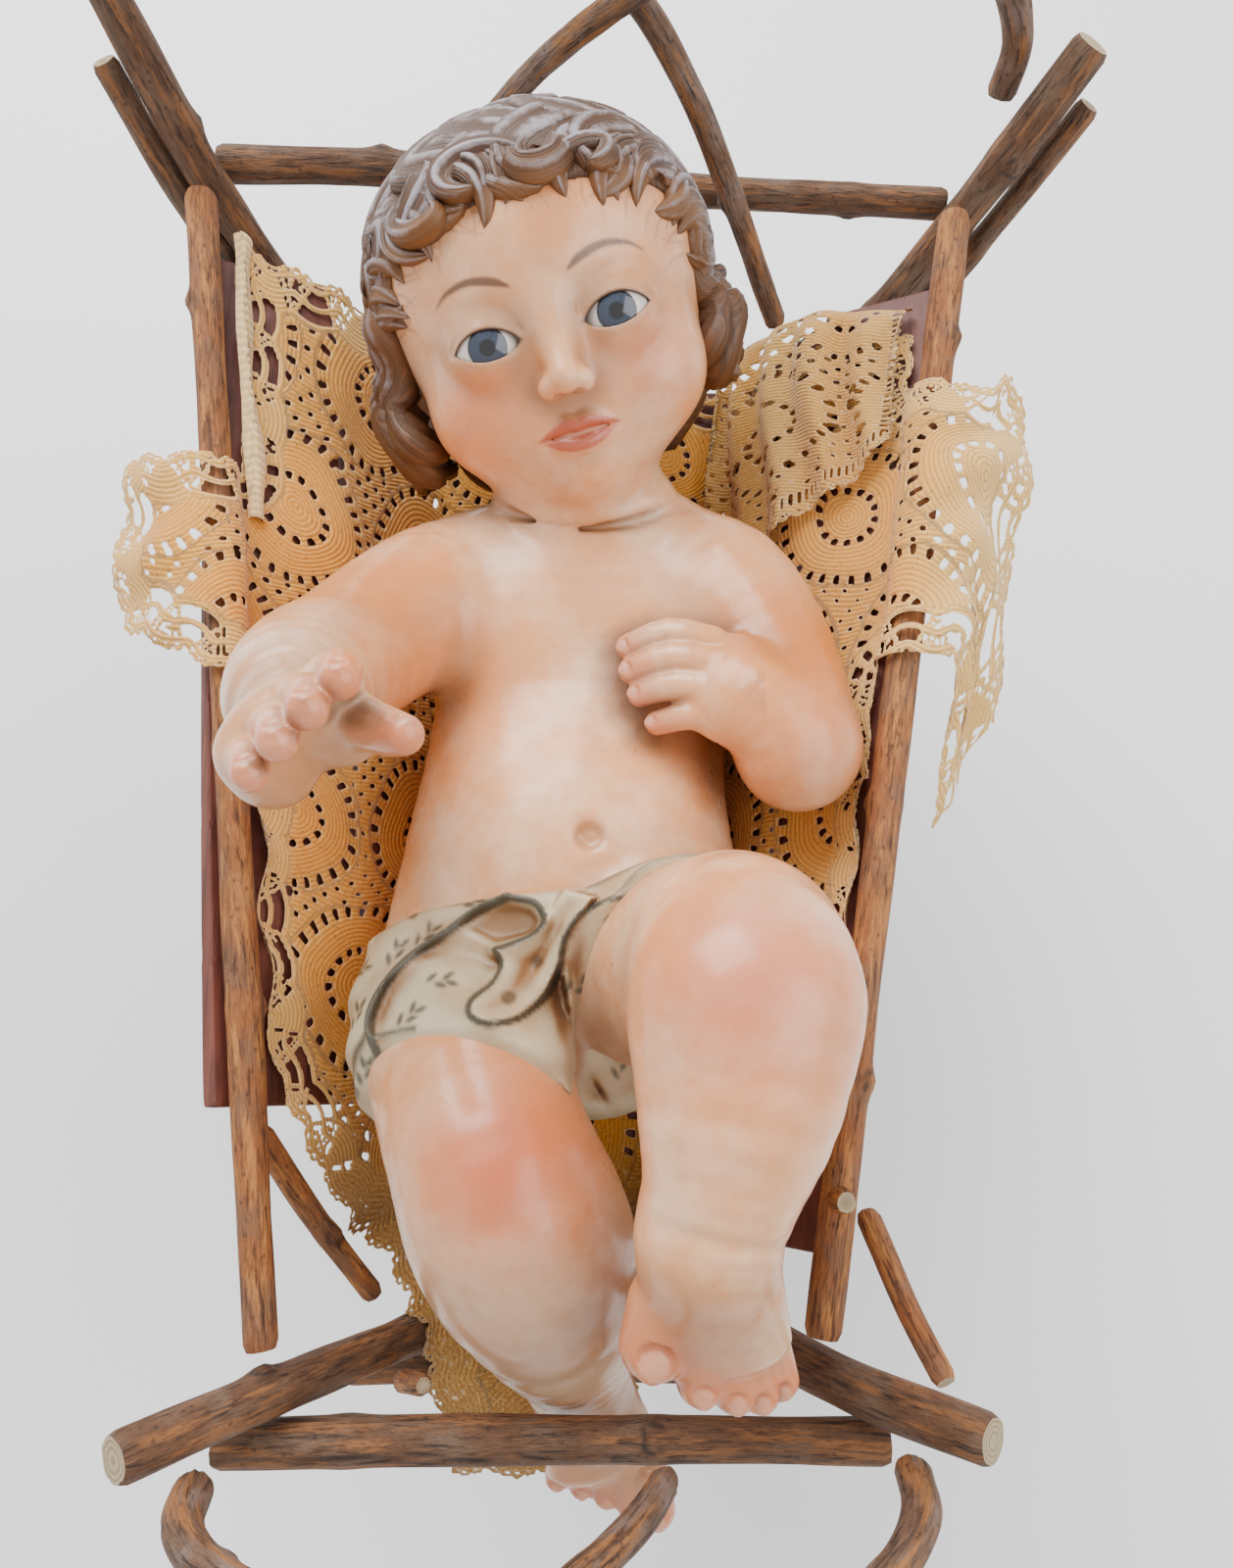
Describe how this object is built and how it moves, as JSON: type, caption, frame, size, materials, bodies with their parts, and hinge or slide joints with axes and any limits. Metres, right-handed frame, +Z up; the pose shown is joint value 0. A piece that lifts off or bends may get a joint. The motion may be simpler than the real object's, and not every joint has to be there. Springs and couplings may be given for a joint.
{
  "type": "infant figurine in a twig manger",
  "caption": "Painted infant figurine lying on a crochet lace cloth in a rustic manger of crossed twigs and thin boards, with bent twig hoops at both ends.",
  "frame": {"origin": "centre of the bounding box, at the ground plane the manger's four feet stand on", "axes": "+Z up; +Y from the feet to the head of the figure; +X to the figure's left side"},
  "size_m": [0.341, 0.497, 0.372],
  "materials": {
    "flesh": "aged glossy oil paint over plaster composition",
    "crochet": "hand crocheted cotton lace, cream and ochre",
    "bark": "dry twig with its bark on, sawn ends",
    "plank": "thin reddish brown weathered board"
  },
  "bodies": {
    "root": {"infant_figure": "flesh", "lace_cloth": "crochet", "head_pole_right": "bark", "head_pole_left": "bark", "head_doubling_left": "bark", "head_doubling_right": "bark", "head_crossbar": "bark", "head_ledger": "bark", "foot_pole_right": "bark", "foot_pole_left": "bark", "foot_crossbar": "bark", "foot_outer_bar": "bark", "foot_ledger": "bark", "foot_small_brace": "bark", "head_hoop_right": "bark", "head_hoop_left": "bark", "foot_hoop_left": "bark", "foot_hoop_right": "bark", "left_rail": "bark", "right_rail": "bark", "left_brace": "bark", "right_brace": "bark", "floor_board": "plank", "left_lower_board": "plank", "right_lower_board": "plank", "left_upper_board": "plank", "right_upper_board": "plank"}
  },
  "joints": []
}
